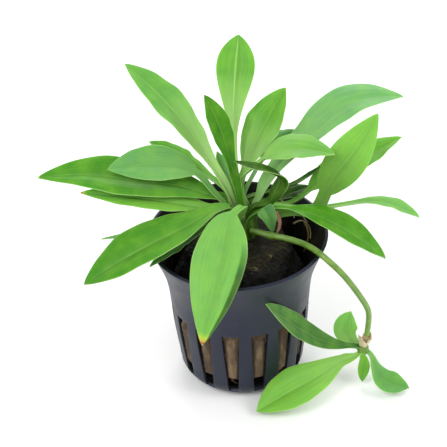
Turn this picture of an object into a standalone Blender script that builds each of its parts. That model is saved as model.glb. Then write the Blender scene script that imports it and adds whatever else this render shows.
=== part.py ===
"""A small echinodorus in a net pot, with a young plant on its runner.

The pot stands on its flat base at z = 0, centred on the origin, with +Z up and the front towards -Y.
Sizes below are in millimetres and become metres where a mesh is made.
"""
import math
from collections import namedtuple

import bmesh
import bpy
import numpy as np

MM = 0.001

# Pot: a thin moulded cup with a flared collar and tall slots
RIM_RADIUS = 28.2
RIM_HEIGHT = 52.0
COLLAR_HEIGHT = 46.0
COLLAR_RADIUS = 25.7
SHOULDER_HEIGHT = 40.0
SHOULDER_RADIUS = 23.7
WAIST_HEIGHT = 22.0
WAIST_RADIUS = 21.7
FOOT_CURVE = 7.0
FOOT_RADIUS = 20.0
WALL = 1.0
POT_SIDES = 56
SLOTS = 15
SLOT_TURN = 14.1          # degrees that the slots are turned from a slot straight in front
SLOT_TOP, SLOT_TOP_WIDTH = 28.2, 5.6
SLOT_BOTTOM, SLOT_BOTTOM_WIDTH = 2.8, 3.0
SLOT_DEPTH_FROM = 14.0    # radius where a slot starts, inside the rounded foot
DRAINS = 5
DRAIN_FROM, DRAIN_TO, DRAIN_WIDTH = 5.0, 11.0, 2.2

# Rock wool: a plug against the wall below, and a mound round the crown above
WOOL_GAP = 0.4
WOOL_BOTTOM = 7.0
WOOL_SHOULDER = 34.0
MOUND_TOP = 50.0
MOUND_RADIUS = 15.5
WOOL_SIDES = 36

# Crown: where all leaf stalks start, in three rings
CROWN_X, CROWN_Y = 1.2, 3.0
CROWN_RADIUS = 5.0
CROWN_FOOT, CROWN_TOP = 50.3, 50.7
STALK_FOOT, STALK_NECK = 51.1, 59.0
RINGS = {"inner": (1.3, 1.5), "middle": (2.8, 3.1), "outer": (4.2, 4.6)}  # radius at foot and neck

# Leaves: a stalk that widens into a lance-shaped blade, folded a little along its midrib
FOLD = 12.0
STALK_THICK, BLADE_THICK, TIP_THICK = 0.8, 0.6, 0.3
FOOT_WIDTH = 1.5            # no stalk is wider than this in the crown
STATIONS = 10
HALF_SECTION = np.array([-1.0, -0.5, 0.0, 0.5, 1.0])

# Each leaf: its ring and bearing at the crown, its midrib's points after the neck, the point where the
# blade starts, the widths of stalk and blade, where the blade is widest from 0 to 1, the turn of the
# face about the midrib at foot, blade start and tip, and the bearing it leans to
Leaf = namedtuple("Leaf", "ring bearing points start stalk blade widest turn faces")
LEVEL = (0, 0, 0)
ROSETTE = {
    "leaf_01": Leaf("inner", 92, [(-0.1, 9, 72), (-0.1, 13, 79), (0.9, 22, 93), (2.9, 32, 105)],
                    1, 2.2, 12, 0.7, LEVEL, 90),
    "leaf_02": Leaf("inner", 180, [(-6.2, 8, 72), (-18, 15, 88.9), (-32.3, 24, 101.2)],
                    0, 3.6, 13, 0.62, LEVEL, 150),
    "leaf_03": Leaf("inner", -80, [(-1.3, 4, 77), (-4.6, 6, 90), (-8.3, 8, 99)],
                    0, 3.0, 7, 0.6, LEVEL, 120),
    "leaf_04": Leaf("middle", 47, [(1.6, 6, 63.5), (3.2, 10, 70), (9.9, 18, 81), (16.7, 24, 90)],
                    1, 2.2, 12, 0.54, LEVEL, 60),
    "leaf_05": Leaf("middle", 3, [(6.7, 4.5, 62), (8.6, 6.5, 65.1), (11.3, 9, 68.3), (15.4, 12, 71.4),
                    (22.9, 17.5, 75.4), (35.7, 23, 83.2), (53.7, 26, 83.5)],
                    2, 5.6, 15, 0.66, (-30, 0, 0), 27),
    "leaf_06": Leaf("inner", 2, [(1.4, 6, 69.2), (5, 6.4, 72.8), (9, 6.3, 76.3), (18.7, 5.5, 79.3),
                    (30.7, 3, 78.7)],
                    2, 1.2, 13, 0.45, LEVEL, 0),
    "leaf_07": Leaf("outer", -23, [(9, 0.3, 58.5), (17, 1.5, 58.7), (24.3, 1.5, 59), (27.6, 3.5, 64),
                    (34.6, 7, 73.5), (44.6, 13, 86.2)],
                    3, 4.0, 12.6, 0.45, (0, 40, 30), 40),
    "leaf_08": Leaf("outer", 29, [(15.7, 7, 58), (23, 10, 60.7), (37.4, 16, 66), (52.9, 22, 71)],
                    1, 1.4, 13.5, 0.45, LEVEL, 20),
    "leaf_09": Leaf("outer", 0, [(20.7, 5, 57.6), (33.7, 8, 56.1), (46.7, 10, 54.3), (57.7, 8, 49.5)],
                    1, 1.2, 6.6, 0.72, LEVEL, 5),
    "leaf_10": Leaf("outer", -60, [(9.7, 0, 61.6), (16.2, -1, 62), (30.9, -5, 57.4), (45.4, -10, 47.8)],
                    1, 1.1, 12, 0.54, LEVEL, -15),
    "leaf_11": Leaf("outer", -99, [(2.1, -3.3, 65.2), (-1.3, -7.8, 65.6), (-4.3, -16, 62.3), (-7.3, -28, 57),
                    (-12.3, -41, 42)],
                    1, 2.4, 16.5, 0.42, LEVEL, -110),
    "leaf_12": Leaf("outer", 205, [(-1.9, -1.2, 63.6), (-6.3, -1.5, 63.2), (-11.3, -4, 62), (-29.5, -12, 57),
                    (-48, -16, 47.4)],
                    0, 1.6, 18.4, 0.60, LEVEL, 200),
    "leaf_13": Leaf("outer", 109, [(-7.3, 6, 63), (-14.3, 7, 65.2), (-30.3, 8, 68.3), (-45.3, 10, 70),
                    (-61.4, 10, 69.8)],
                    0, 3.0, 15, 0.52, (0, -15, -15), 175),
    "leaf_14": Leaf("outer", 145, [(-8.2, 3.5, 60.6), (-16.3, 3, 62.2), (-24.3, 3, 64.1), (-48.3, 6, 66.3)],
                    0, 1.6, 9, 0.50, (0, -15, -15), 178),
    "leaf_15": Leaf("middle", 198, [(-3, 3.4, 60.6), (-6.9, 6, 64.3), (-12.3, 8, 70.6), (-16.3, 8, 72.6),
                    (-29.3, 8, 74.2), (-39.3, 7, 74)],
                    2, 2.2, 12.5, 0.5, (0, -25, -25), 170),
    "leaf_16": Leaf("middle", 157, [(-2.2, 6.6, 62.5), (-7.3, 10.4, 66.5), (-15.3, 14, 70.6),
                    (-26.3, 18, 76.1)],
                    1, 2.0, 8, 0.60, LEVEL, 155),
    "leaf_17": Leaf(None, 0, [(-4.5, 5.5, 51.3), (-8.5, 7, 55), (-12, 8, 59), (-15.4, 8.3, 61.3)],
                    1, 1.2, 2.6, 0.50, LEVEL, 170),
    "leaf_18": Leaf("outer", 177, [(-8.3, 1, 58.5), (-15.3, 0, 57), (-27.3, -1.5, 55.6), (-42.3, -4.5, 56)],
                    1, 1.4, 3, 0.35, LEVEL, 185),
    "leaf_19": Leaf("outer", 233, [(-9.3, -5, 59.5), (-19.2, -9, 55), (-23.3, -11.7, 53.5),
                    (-27.6, -14.2, 51.8)],
                    0, 1.4, 5, 0.50, LEVEL, 210),
    "leaf_20": Leaf("middle", -36, [(5.2, 1.6, 61.2), (8.4, 1.8, 61.6), (11, 2, 63.4), (12.6, 2.2, 66.6),
                    (14.3, 2.3, 70.8), (10.9, 1.6, 74.3), (5.7, 1.4, 76.6), (-0.3, 1.4, 78.9)],
                    2, 2.6, 5.2, 0.4, (80, 60, -30), 180),
    "leaf_21": Leaf("middle", 126, [(-1.3, 8, 66), (-3.3, 11, 69), (-5.3, 14, 74)],
                    0, 0.9, 4, 0.50, LEVEL, 120),
    "leaf_22": Leaf("middle", 87, [(2.3, 7.2, 62), (5, 11.2, 65.4), (8.7, 17, 68), (14.7, 22, 72),
                    (20.7, 25, 73)],
                    2, 1.0, 7, 0.50, LEVEL, 40),
    "leaf_23": Leaf("outer", 61, [(10.7, 9, 58.5), (16.7, 12, 58), (23.7, 15, 58.5)],
                    0, 1.1, 6, 0.50, LEVEL, 30),
    "leaf_24": Leaf("outer", 86, [(9.7, 11, 60), (19.7, 14, 61.4), (25.3, 15.6, 64), (28.3, 16.6, 65.6)],
                    1, 0.9, 1.4, 0.50, LEVEL, 30),
}

# What grows along the runner: its points begin where the piece itself does
ON_RUNNER = {
    "node_leaf": Leaf(None, 0, [(8.2, -1.9, 63.1), (9.7, -2.9, 60.8), (10.4, -3.2, 57.2), (10.9, -3, 54.2)],
                      0, 1.0, 5.5, 0.12, LEVEL, 270),
    "node_bract": Leaf(None, 0, [(12.1, -2.6, 61.6), (13, -2.8, 58.6), (12.7, -3.2, 55.6),
                       (11.7, -3.4, 53.6)],
                       0, 0.7, 0.9, 0.4, LEVEL, 270),
    "plantlet_leaf_1": Leaf("plantlet", 0, [(36.7, -11, 13.3), (33.7, -12, 14.6), (24.7, -16, 20.9),
                            (14.7, -21, 33), (7.7, -26, 44.7)],
                            1, 1.6, 8, 0.58, (0, -40, -40), 205),
    "plantlet_leaf_2": Leaf("plantlet", 0, [(36.7, -12, 10.8), (31.7, -14.3, 10.4), (25.7, -18, 9.3),
                            (14.7, -23, 6.2), (3.5, -27, 1.8)],
                            1, 3.8, 14, 0.60, (0, -20, -10), 205),
    "plantlet_leaf_3": Leaf("plantlet", 0, [(36.9, -9.5, 12.6), (33.8, -7.5, 15), (33.2, -6.5, 18.5),
                            (35.1, -5, 22.8)],
                            0, 2.0, 7.6, 0.50, LEVEL, 90),
    "plantlet_leaf_4": Leaf("plantlet", 0, [(38.3, -12.3, 10.6), (38.6, -13, 9), (38.3, -14, 5),
                            (38, -15, 1.5)],
                            0, 1.4, 3.6, 0.50, LEVEL, 270),
    "plantlet_leaf_5": Leaf("plantlet", 0, [(40.7, -10.8, 10), (41.9, -12.8, 7.3), (45.2, -17, 3.2),
                            (52.6, -19.3, 2.3)],
                            0, 1.4, 9.6, 0.68, LEVEL, 320),
}

# Brown and papery, the others are green
WITHERED = ("leaf_17", "node_bract")

# Runner: a round natural stem from the crown, over the rim and down to the young plant
RUNNER_THICK = 2.0
RUNNER_POINTS = [(3.9, -1.8, 54.6), (6.7, -3, 54.4), (9.9, -4, 53.9), (13, -5, 53.8), (16.7, -7, 54),
                 (20.1, -9.5, 54.2), (23.7, -13.3, 54.2), (26.1, -15.8, 53.5), (28.3, -17, 51.8),
                 (30.7, -17.3, 49), (33.9, -17, 44), (37.7, -15.2, 36), (39.7, -13, 30), (40.2, -11, 24),
                 (39.7, -10, 17)]
RUNNER_STATIONS = 40

# Young plant: its short crown and the papery sheath round the runner's end
PLANTLET = (38.5, -10.0, 11.3)
PLANTLET_RADIUS = 1.6
PLANTLET_HEIGHT = 3.0
SHEATH_FOOT, SHEATH_TOP = 13.2, 16.4
SHEATH_RADIUS = 1.5


def clear_scene():
    for item in list(bpy.data.objects):
        bpy.data.objects.remove(item, do_unlink=True)


def material(name, colour, roughness, metallic=0.0):
    made = bpy.data.materials.new(name)
    made.use_nodes = True
    shader = made.node_tree.nodes["Principled BSDF"]
    shader.inputs["Base Color"].default_value = (*colour, 1.0)
    shader.inputs["Roughness"].default_value = roughness
    shader.inputs["Metallic"].default_value = metallic
    return made


def add_object(name, points, faces, finish, smooth=True):
    """An object from points in millimetres, with its faces turned outwards."""
    mesh = bpy.data.meshes.new(name)
    mesh.from_pydata((np.asarray(points, float) * MM).tolist(), [], faces)
    bm = bmesh.new()
    bm.from_mesh(mesh)
    bmesh.ops.recalc_face_normals(bm, faces=bm.faces)
    bm.to_mesh(mesh)
    bm.free()
    mesh.materials.append(finish)
    if smooth:
        mesh.shade_smooth()
        mesh.set_sharp_from_angle(angle=math.radians(40))
    made = bpy.data.objects.new(name, mesh)
    bpy.context.collection.objects.link(made)
    return made


def tube_faces(rings, sides):
    """Quads between rings of points, each ring with the same number of sides, and a cap at each end."""
    faces = []
    for ring in range(rings - 1):
        for side in range(sides):
            after = (side + 1) % sides
            faces.append((ring * sides + side, ring * sides + after,
                          (ring + 1) * sides + after, (ring + 1) * sides + side))
    faces.append(tuple(range(sides)))
    faces.append(tuple((rings - 1) * sides + side for side in range(sides)))
    return faces


def arc(centre, radius, start, end, count):
    """Points on a circle in the (radius, height) plane, angles in degrees."""
    turn = np.radians(np.linspace(start, end, count))
    return [(centre[0] + radius * math.cos(a), centre[1] + radius * math.sin(a)) for a in turn]


def turned(name, profile, sides, finish):
    """A closed piece turned about Z from a profile of (radius, height) that starts and ends on the axis."""
    turn = 2 * math.pi * np.arange(sides) / sides
    points = [(0.0, 0.0, profile[0][1])]
    for radius, height in profile[1:-1]:
        points += [(radius * math.sin(a), -radius * math.cos(a), height) for a in turn]
    points.append((0.0, 0.0, profile[-1][1]))
    rings = len(profile) - 2
    faces = [(0, 1 + side, 1 + (side + 1) % sides) for side in range(sides)]
    faces += [tuple(1 + corner for corner in quad) for quad in tube_faces(rings, sides)[:-2]]
    last, start = len(points) - 1, 1 + (rings - 1) * sides
    faces += [(last, start + (side + 1) % sides, start + side) for side in range(sides)]
    return add_object(name, points, faces, finish)


def blocks(name, count, inner, outer, low, high, low_width, high_width):
    """A ring of cutters that point outwards from the axis, in line with the slots and tapered in height."""
    points, faces = [], []
    for number in range(count):
        angle = math.radians(SLOT_TURN) + 2 * math.pi * number / count
        out = np.array([math.sin(angle), -math.cos(angle), 0.0])
        side = np.array([math.cos(angle), math.sin(angle), 0.0])
        first = len(points)
        for height, width in ((low, low_width), (high, high_width)):
            for along, across in ((inner, -1), (outer, -1), (outer, 1), (inner, 1)):
                points.append(out * along + side * across * width / 2 + np.array([0, 0, height]))
        for quad in ((0, 1, 2, 3), (4, 5, 6, 7), (0, 1, 5, 4), (1, 2, 6, 5), (2, 3, 7, 6), (3, 0, 4, 7)):
            faces.append(tuple(first + corner for corner in quad))
    cutter = add_object(name, points, faces, material(name, (1, 0, 0), 0.5), smooth=False)
    cutter.hide_render = True
    cutter.display_type = "WIRE"
    return cutter


def cut(piece, cutter):
    """Takes the cutter out of the piece."""
    boolean = piece.modifiers.new(cutter.name, "BOOLEAN")
    boolean.operation = "DIFFERENCE"
    boolean.solver = "EXACT"
    boolean.object = cutter


def make_pot():
    outside = [(0.0, 0.0)]
    outside += arc((FOOT_RADIUS - FOOT_CURVE, FOOT_CURVE), FOOT_CURVE, -90, 0, 5)
    outside += [(WAIST_RADIUS, WAIST_HEIGHT), (SHOULDER_RADIUS, SHOULDER_HEIGHT),
                (COLLAR_RADIUS, COLLAR_HEIGHT), (RIM_RADIUS, RIM_HEIGHT)]
    inside = [(RIM_RADIUS - WALL, RIM_HEIGHT), (COLLAR_RADIUS - WALL, COLLAR_HEIGHT),
              (SHOULDER_RADIUS - WALL, SHOULDER_HEIGHT), (WAIST_RADIUS - WALL, WAIST_HEIGHT)]
    inside += arc((FOOT_RADIUS - FOOT_CURVE, FOOT_CURVE), FOOT_CURVE - WALL, 0, -90, 5)
    inside.append((0.0, WALL))
    black = material("black_plastic", (0.03, 0.032, 0.04), 0.4)
    pot = turned("pot", outside + inside, POT_SIDES, black)
    cut(pot, blocks("slots", SLOTS, SLOT_DEPTH_FROM, RIM_RADIUS, SLOT_BOTTOM, SLOT_TOP,
                    SLOT_BOTTOM_WIDTH, SLOT_TOP_WIDTH))
    cut(pot, blocks("drains", DRAINS, DRAIN_FROM, DRAIN_TO, -WALL, 2 * WALL, DRAIN_WIDTH, DRAIN_WIDTH))


def make_rock_wool():
    def wall(height):
        heights = [FOOT_CURVE, WAIST_HEIGHT, SHOULDER_HEIGHT]
        outside = float(np.interp(height, heights, [FOOT_RADIUS, WAIST_RADIUS, SHOULDER_RADIUS]))
        return outside - WALL - WOOL_GAP

    profile = [(0.0, WOOL_BOTTOM), (wall(WOOL_BOTTOM) - 1.0, WOOL_BOTTOM), (wall(9.0), 9.0),
               (wall(WAIST_HEIGHT), WAIST_HEIGHT), (wall(WOOL_SHOULDER), WOOL_SHOULDER),
               (wall(WOOL_SHOULDER) - 2.0, WOOL_SHOULDER + 4.0), (MOUND_RADIUS + 2.5, MOUND_TOP - 8.0),
               (MOUND_RADIUS, MOUND_TOP - 2.5), (MOUND_RADIUS - 2.5, MOUND_TOP - 0.5),
               (MOUND_RADIUS - 6.0, MOUND_TOP), (0.0, MOUND_TOP)]
    turned("rock_wool", profile, WOOL_SIDES, material("rock_wool", (0.12, 0.09, 0.06), 0.95))


def make_crown():
    crown = turned("crown", [(0.0, CROWN_FOOT), (CROWN_RADIUS, CROWN_FOOT), (CROWN_RADIUS - 0.2, CROWN_TOP),
                             (0.0, CROWN_TOP)], 16, material("crown", (0.25, 0.3, 0.08), 0.6))
    crown.location = (CROWN_X * MM, CROWN_Y * MM, 0.0)


def smooth_line(points, count):
    """Even steps along a natural cubic spline, with the distance along it of each step and of each knot."""
    knots = np.asarray(points, float)
    along = np.concatenate([[0.0], np.cumsum(np.linalg.norm(np.diff(knots, axis=0), axis=1))])
    step = np.diff(along)
    size = len(knots)
    system, right = np.zeros((size, size)), np.zeros((size, 3))
    system[0, 0] = system[-1, -1] = 1.0
    for i in range(1, size - 1):
        system[i, i - 1:i + 2] = step[i - 1], 2 * (step[i - 1] + step[i]), step[i]
        right[i] = 6 * ((knots[i + 1] - knots[i]) / step[i] - (knots[i] - knots[i - 1]) / step[i - 1])
    bend = np.linalg.solve(system, right)
    at = np.linspace(0.0, along[-1], count)
    i = np.clip(np.searchsorted(along, at, side="right") - 1, 0, size - 2)
    before, after, gap = (along[i + 1] - at)[:, None], (at - along[i])[:, None], step[i][:, None]
    line = (bend[i] * before**3 + bend[i + 1] * after**3) / (6 * gap)
    line += (knots[i] / gap - bend[i] * gap / 6) * before
    line += (knots[i + 1] / gap - bend[i + 1] * gap / 6) * after
    return line, at, along


def midrib(leaf):
    """All points of a leaf's midrib: those in the crown's ring, if it has one, then its own."""
    if leaf.ring not in RINGS:
        return leaf.points, leaf.start
    angle = math.radians(leaf.bearing)
    foot, neck = RINGS[leaf.ring]
    crown = [(CROWN_X + radius * math.cos(angle), CROWN_Y + radius * math.sin(angle), height)
             for radius, height in ((foot, STALK_FOOT), (neck, STALK_NECK))]
    return crown + leaf.points, leaf.start + 2


def make_leaf(name, leaf, finish):
    """A thin closed body along the midrib: a folded upper face and a rounded lower one."""
    knots, start = midrib(leaf)
    line, at, along = smooth_line(knots, STATIONS)
    blade_start = along[start]
    reach = np.clip((at - blade_start) / (along[-1] - blade_start), 0, 1)
    tangent = np.gradient(line, axis=0)
    tangent /= np.linalg.norm(tangent, axis=1)[:, None]
    lean = math.radians(leaf.faces)
    side = np.array([-math.sin(lean), math.cos(lean), 0.0]) * np.ones((STATIONS, 1))
    side -= tangent * np.sum(side * tangent, axis=1)[:, None]
    side /= np.linalg.norm(side, axis=1)[:, None]
    up = np.cross(tangent, side)
    turn = np.radians(np.interp(at, [0.0, blade_start, along[-1]], leaf.turn))[:, None]
    side, up = np.cos(turn) * side + np.sin(turn) * up, np.cos(turn) * up - np.sin(turn) * side
    lance = np.sin(np.pi * reach ** (math.log(0.5) / math.log(leaf.widest))).clip(0) ** 0.85
    foot = min(leaf.stalk, FOOT_WIDTH)
    broad = along[1] + 0.7 * (blade_start - along[1])
    stalk = np.interp(at, [0.0, along[1], broad], [foot, foot, leaf.stalk]) * (1 - reach**2)
    half = 0.5 * (stalk + (leaf.blade - leaf.stalk * (1 - leaf.widest**2)) * lance) + 0.12
    thick = np.interp(at, [0.0, blade_start, 0.5 * (blade_start + along[-1]), along[-1]],
                      [STALK_THICK, STALK_THICK * 0.9, BLADE_THICK, TIP_THICK])
    fold = math.radians(FOLD)
    top = np.abs(HALF_SECTION)[None, :] * half[:, None] * math.sin(fold)
    under = top[:, 1:-1] - thick[:, None] * np.sqrt(1 - HALF_SECTION[None, 1:-1] ** 2)
    across = np.concatenate([HALF_SECTION, HALF_SECTION[-2:0:-1]])
    height = np.concatenate([top, under[:, ::-1]], axis=1)
    points = line[:, None] + side[:, None] * (half[:, None] * across * math.cos(fold))[..., None]
    points = points + up[:, None] * height[..., None]
    add_object(name, points.reshape(-1, 3), tube_faces(STATIONS, len(across)), finish)


def round_stem(name, line, radius, sides, finish):
    """A round stem along a line, with rings square to it."""
    tangent = np.gradient(line, axis=0)
    tangent /= np.linalg.norm(tangent, axis=1)[:, None]
    side = np.cross(tangent, [0.3, 1.0, 0.2])
    side /= np.linalg.norm(side, axis=1)[:, None]
    up = np.cross(tangent, side)
    turn = 2 * np.pi * np.arange(sides) / sides
    ring = side[:, None] * np.cos(turn)[:, None] + up[:, None] * np.sin(turn)[:, None]
    points = line[:, None] + ring * np.broadcast_to(radius, len(line))[:, None, None]
    add_object(name, points.reshape(-1, 3), tube_faces(len(line), sides), finish)


def make_runner(finish):
    line, _, _ = smooth_line(RUNNER_POINTS, RUNNER_STATIONS)
    round_stem("runner", line, RUNNER_THICK / 2, 8, finish)


def make_plantlet(finish, paper):
    x, y, z = PLANTLET
    heights = np.linspace(z - PLANTLET_HEIGHT / 2, z + PLANTLET_HEIGHT / 2, 5)
    line = np.stack([np.full(5, x), np.full(5, y), heights], axis=1)
    round_stem("plantlet_crown", line, PLANTLET_RADIUS * np.array([0.5, 0.9, 1.0, 0.9, 0.5]), 8, finish)
    lean = np.array([[x + 0.1, y, SHEATH_FOOT], [x + 0.6, y, SHEATH_TOP]])
    round_stem("plantlet_sheath", lean, np.array([SHEATH_RADIUS * 0.7, SHEATH_RADIUS]), 8, paper)


def build():
    clear_scene()
    green = material("leaf_green", (0.16, 0.42, 0.06), 0.45)
    stem = material("runner_green", (0.28, 0.4, 0.08), 0.5)
    paper = material("dry_bract", (0.6, 0.5, 0.33), 0.8)
    make_pot()
    make_rock_wool()
    make_crown()
    for name, leaf in {**ROSETTE, **ON_RUNNER}.items():
        make_leaf(name, leaf, paper if name in WITHERED else green)
    make_runner(stem)
    make_plantlet(stem, paper)


build()
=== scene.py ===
# %% [markdown]
# # A small echinodorus in its net pot
#
# A net pot holds a plug of rock wool, and from the plug a rosette of some two dozen leaves stands up and
# hangs out. One runner leaves the crown, passes over the rim and ends in a young plant near the table.
# The solids of all these pieces are ready in one shared frame. Here they get the surface that the eye sees:
# veins, folded blades, fibres, satin plastic. Every shape is an array of points worked out by a formula.

# %% The frame that every piece is placed in
import math
from collections import namedtuple

import bpy
import numpy as np
from mathutils import Matrix, Vector


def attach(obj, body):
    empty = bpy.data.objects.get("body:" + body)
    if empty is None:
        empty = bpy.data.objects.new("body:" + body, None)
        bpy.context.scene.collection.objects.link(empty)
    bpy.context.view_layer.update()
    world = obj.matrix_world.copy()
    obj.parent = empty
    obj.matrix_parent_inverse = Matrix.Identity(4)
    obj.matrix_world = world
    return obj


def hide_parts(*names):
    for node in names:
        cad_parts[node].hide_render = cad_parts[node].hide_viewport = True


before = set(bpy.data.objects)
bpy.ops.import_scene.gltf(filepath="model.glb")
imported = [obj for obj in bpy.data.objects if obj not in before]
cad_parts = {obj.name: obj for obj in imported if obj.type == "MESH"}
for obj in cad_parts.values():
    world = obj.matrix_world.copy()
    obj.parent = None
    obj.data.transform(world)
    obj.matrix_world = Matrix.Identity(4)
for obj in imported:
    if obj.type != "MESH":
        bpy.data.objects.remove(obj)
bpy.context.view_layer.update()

MM = 0.001
print("pieces in the frame:", len(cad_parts))

# %% [markdown]
# ## From arrays to meshes
# A surface that is a function of two parameters becomes a grid of points, and a grid always has the same
# faces: each joins a point to its neighbours in the next row and column. So one function can number the
# faces of a leaf, a stem and a pot alike, and a second one puts points, faces and any values that the
# material needs into a mesh. Writing whole arrays is much faster than adding one vertex after another.

# %% Faces of a grid, and a mesh from arrays
def grid_faces(rows, columns, closed=False):
    """Corner numbers of a grid's quads, row by row. A closed grid joins its last column to its first."""
    row, column = np.mgrid[0:rows - 1, 0:columns - (0 if closed else 1)]
    after = (column + 1) % columns
    low, high = row * columns, (row + 1) * columns
    corners = low + column, low + after, high + after, high + column
    return np.stack(corners, axis=-1).reshape(-1, 4)


def tube_faces(rows, columns):
    """The quads of a closed tube, with one many-sided cap at each end."""
    first = list(range(columns))[::-1]
    last = list(range((rows - 1) * columns, rows * columns))
    return grid_faces(rows, columns, closed=True).tolist() + [first, last]


def add_piece(name, points, faces, finish, stands_for=(), values=None):
    """A piece from points in millimetres. Values holds a number per point under each attribute's name."""
    mesh = bpy.data.meshes.new(name)
    mesh.from_pydata((np.asarray(points).reshape(-1, 3) * MM).tolist(), [], faces)
    mesh.shade_smooth()
    for title, numbers in (values or {}).items():
        attribute = mesh.attributes.new(title, "FLOAT", "POINT")
        attribute.data.foreach_set("value", np.ascontiguousarray(numbers, np.float32).ravel())
    mesh.materials.append(finish)
    piece = bpy.data.objects.new(name, mesh)
    bpy.context.collection.objects.link(piece)
    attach(piece, "root")
    if stands_for:
        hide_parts(*stands_for)
    return piece


print("a 3 by 4 grid has", len(grid_faces(3, 4)), "quads")

# %% [markdown]
# ## Smooth lines and smooth noise
# A midrib or a runner is drawn by a few given points, and the natural spline through them bends as
# a springy stem would. Grown things are never quite even, so a second helper gives smooth random heights:
# a sum of plane waves in random directions. It needs no image and is the same in every run.

# %% A spline through points, and waves of a chosen length
def smooth_line(points, count):
    """Points at even steps along a natural cubic spline, and how far along it each point and each knot is."""
    knots = np.asarray(points, float)
    along = np.concatenate([[0.0], np.cumsum(np.linalg.norm(np.diff(knots, axis=0), axis=1))])
    step = np.diff(along)
    inner = np.arange(1, len(knots) - 1)
    system = np.zeros((len(knots), len(knots)))
    system[0, 0] = system[-1, -1] = 1.0
    system[inner, inner - 1] = step[:-1]
    system[inner, inner] = 2 * (step[:-1] + step[1:])
    system[inner, inner + 1] = step[1:]
    slope = np.diff(knots, axis=0) / step[:, None]
    right = np.zeros_like(knots)
    right[1:-1] = 6 * np.diff(slope, axis=0)
    bend = np.linalg.solve(system, right)
    at = np.linspace(0.0, along[-1], count)
    i = np.clip(np.searchsorted(along, at, side="right") - 1, 0, len(knots) - 2)
    before, after, gap = (along[i + 1] - at)[:, None], (at - along[i])[:, None], step[i][:, None]
    line = (bend[i] * before**3 + bend[i + 1] * after**3) / (6 * gap)
    line += (knots[i] / gap - bend[i] * gap / 6) * before
    line += (knots[i + 1] / gap - bend[i + 1] * gap / 6) * after
    return line, at, along


def unit(vectors):
    """Each vector divided by its own length."""
    return vectors / np.linalg.norm(vectors, axis=-1, keepdims=True)


def ripple(points, wavelength, seed, waves=24):
    """Smooth random heights of about -1 to 1: plane waves in random directions, added and evened out."""
    chance = np.random.default_rng(seed)
    ways = unit(chance.normal(size=(waves, 3))) * 2 * math.pi / wavelength
    ways = ways * chance.uniform(0.7, 1.4, (waves, 1))
    phases = chance.uniform(0, 2 * math.pi, waves)
    return np.sin(np.asarray(points) @ ways.T + phases).sum(axis=-1) * math.sqrt(2 / waves) / 1.5


print("height of a ripple at the origin:", round(float(ripple(np.zeros(3), 5.0, 1)), 3))

# %% [markdown]
# ## Writing a material
# A material is a small tree of nodes. One helper adds a node, sets its properties, and either fills its
# sockets with values or links them to another node's output. Colours are picked as sRGB hex values, the
# ones a paint program shows, but light adds up in linear numbers, so one function turns them.

# %% Colours, nodes and an empty material
def linear(code):
    """An sRGB hex colour as linear red, green, blue and full alpha."""
    parts = np.array([int(code[i:i + 2], 16) for i in (1, 3, 5)]) / 255
    low = parts <= 0.04045
    return (*np.where(low, parts / 12.92, ((parts + 0.055) / 1.055) ** 2.4).tolist(), 1.0)


def add_node(tree, kind, sockets=None, stops=None, **properties):
    """One node: its properties, its colour stops if it is a ramp, and a value or a link for each socket."""
    made = tree.nodes.new(kind)
    for title, value in properties.items():
        setattr(made, title, value)
    for number, (place, colour) in enumerate(stops or ()):
        stop = made.color_ramp.elements[number] if number < 2 else made.color_ramp.elements.new(place)
        stop.position = place
        stop.color = linear(colour)
    for socket, value in (sockets or {}).items():
        if isinstance(value, bpy.types.NodeSocket):
            tree.links.new(value, made.inputs[socket])
        else:
            made.inputs[socket].default_value = value
    return made


def new_material(name, **sockets):
    """A material with a Principled shader whose named sockets are set."""
    made = bpy.data.materials.new(name)
    made.use_nodes = True
    shader = made.node_tree.nodes["Principled BSDF"]
    for title, value in sockets.items():
        shader.inputs[title.replace("_", " ")].default_value = value
    return made, made.node_tree, shader


def blend_colour(tree, amount, first, second, how="MIX"):
    """The output of a mix of two colours, each a hex code or a socket."""
    colours = [linear(colour) if isinstance(colour, str) else colour for colour in (first, second)]
    sockets = {0: amount, 6: colours[0], 7: colours[1]}
    return add_node(tree, "ShaderNodeMix", sockets, data_type="RGBA", blend_type=how).outputs[2]


print("mid green in linear light:", [round(part, 3) for part in linear("#6db84a")[:3]])

# %% [markdown]
# ## The leaf as a surface
# A leaf of this plant is a channelled stalk that widens into a lance-shaped blade. The blade is folded a
# little along its midrib, each half is arched, and the veins run from base to tip beside the midrib. That
# makes it a function of two parameters: how far along the midrib, and how far across from margin to margin.
# The columns of the grid stand closer where a vein or a margin needs them.

# %% The crown's rings and a leaf's description
CROWN_X, CROWN_Y = 1.2, 3.0
PLANTLET = (38.5, -10.0, 11.3)
STALK_FOOT, STALK_NECK = 51.1, 59.0
RINGS = {"inner": (1.3, 1.5), "middle": (2.8, 3.1), "outer": (4.2, 4.6)}  # radius at foot and neck
FOLD = 12.0
FOOT_WIDTH = 1.5
VEINS = (0.36, 0.69)                       # where the side veins run, from midrib to margin
STATIONS = 84
LEVEL = (0, 0, 0)

half_columns = np.array([
    0, 0.05, 0.1, 0.2, 0.29, 0.33, 0.36, 0.39, 0.46, 0.56, 0.64, 0.69, 0.74, 0.82, 0.9, 0.96, 1])
ACROSS = np.concatenate([half_columns[:0:-1], -half_columns])  # from the left margin to the right one

# Each leaf: its ring and bearing at the crown, its midrib's points after the neck, the point where the
# blade starts, the widths of stalk and blade, where the blade is widest from 0 to 1, the turn of the
# face about the midrib at foot, blade start and tip, and the bearing it leans to
Leaf = namedtuple("Leaf", "ring bearing points start stalk blade widest turn faces")

# What the eye adds: freshness from 0, deep green, to 1, pale green; the blue bloom of its wax, partly painted
# sky sheen; the length of its brown tip and the height of its waves in millimetres; how far its left and
# right margins bend up, a bent margin also getting a band of painted shade; and how pale its ribs and its
# foot are, a foot below zero getting painted shade instead
Look = namedtuple("Look", "fresh bloom brown wave left right rib pale",
                  defaults=(0.5, 0.0, 0.0, 0.3, 0.0, 0.0, 0.3, 0.3))


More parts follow.
